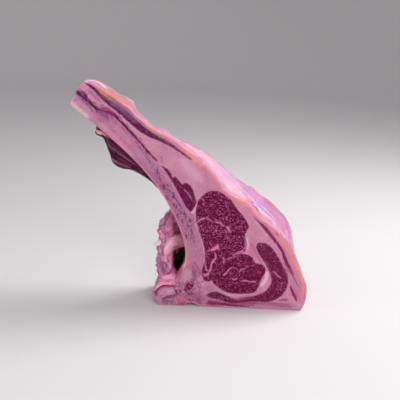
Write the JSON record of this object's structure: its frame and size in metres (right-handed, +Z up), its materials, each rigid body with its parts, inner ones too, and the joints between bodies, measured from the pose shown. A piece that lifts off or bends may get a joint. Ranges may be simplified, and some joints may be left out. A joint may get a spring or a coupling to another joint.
{
  "type": "raw bone-in rib steak",
  "caption": "Very thick raw rib steak sawn through a long rib and its chine, with marbled muscles, a thick fat cover and the next rib's head behind; it stands on its sawn chine end.",
  "frame": {"origin": "centre of the bounding box's bottom face, on the sawn base of the chine end", "axes": "+Z up, the rib leans up towards -X, +X towards the thick fat end, -Y out of the front cut face"},
  "size_m": [0.3662, 0.08, 0.345],
  "materials": {
    "fat": "moist pink-white fat, satin",
    "lean": "moist dark red lean meat with pale marbling",
    "lean_dark": "moist dark purple thin muscle",
    "bone": "sawn bone, damp, with porous marrow",
    "flap": "damp membrane over dark muscle"
  },
  "bodies": {
    "root": {"fat_body": "fat", "chine_fat": "fat", "rib_flap": "flap", "rib_bone": "bone", "chine_bone": "bone", "rib_head": "bone", "eye_muscle": "lean", "deep_muscle": "lean", "cap_muscle": "lean", "rib_muscle": "lean", "flank_muscle_band": "lean_dark", "rim_muscle_strip": "lean", "low_muscle_strip": "lean", "base_muscle_strip": "lean", "rib_muscle_streak": "lean", "chine_muscle": "lean"}
  },
  "joints": []
}
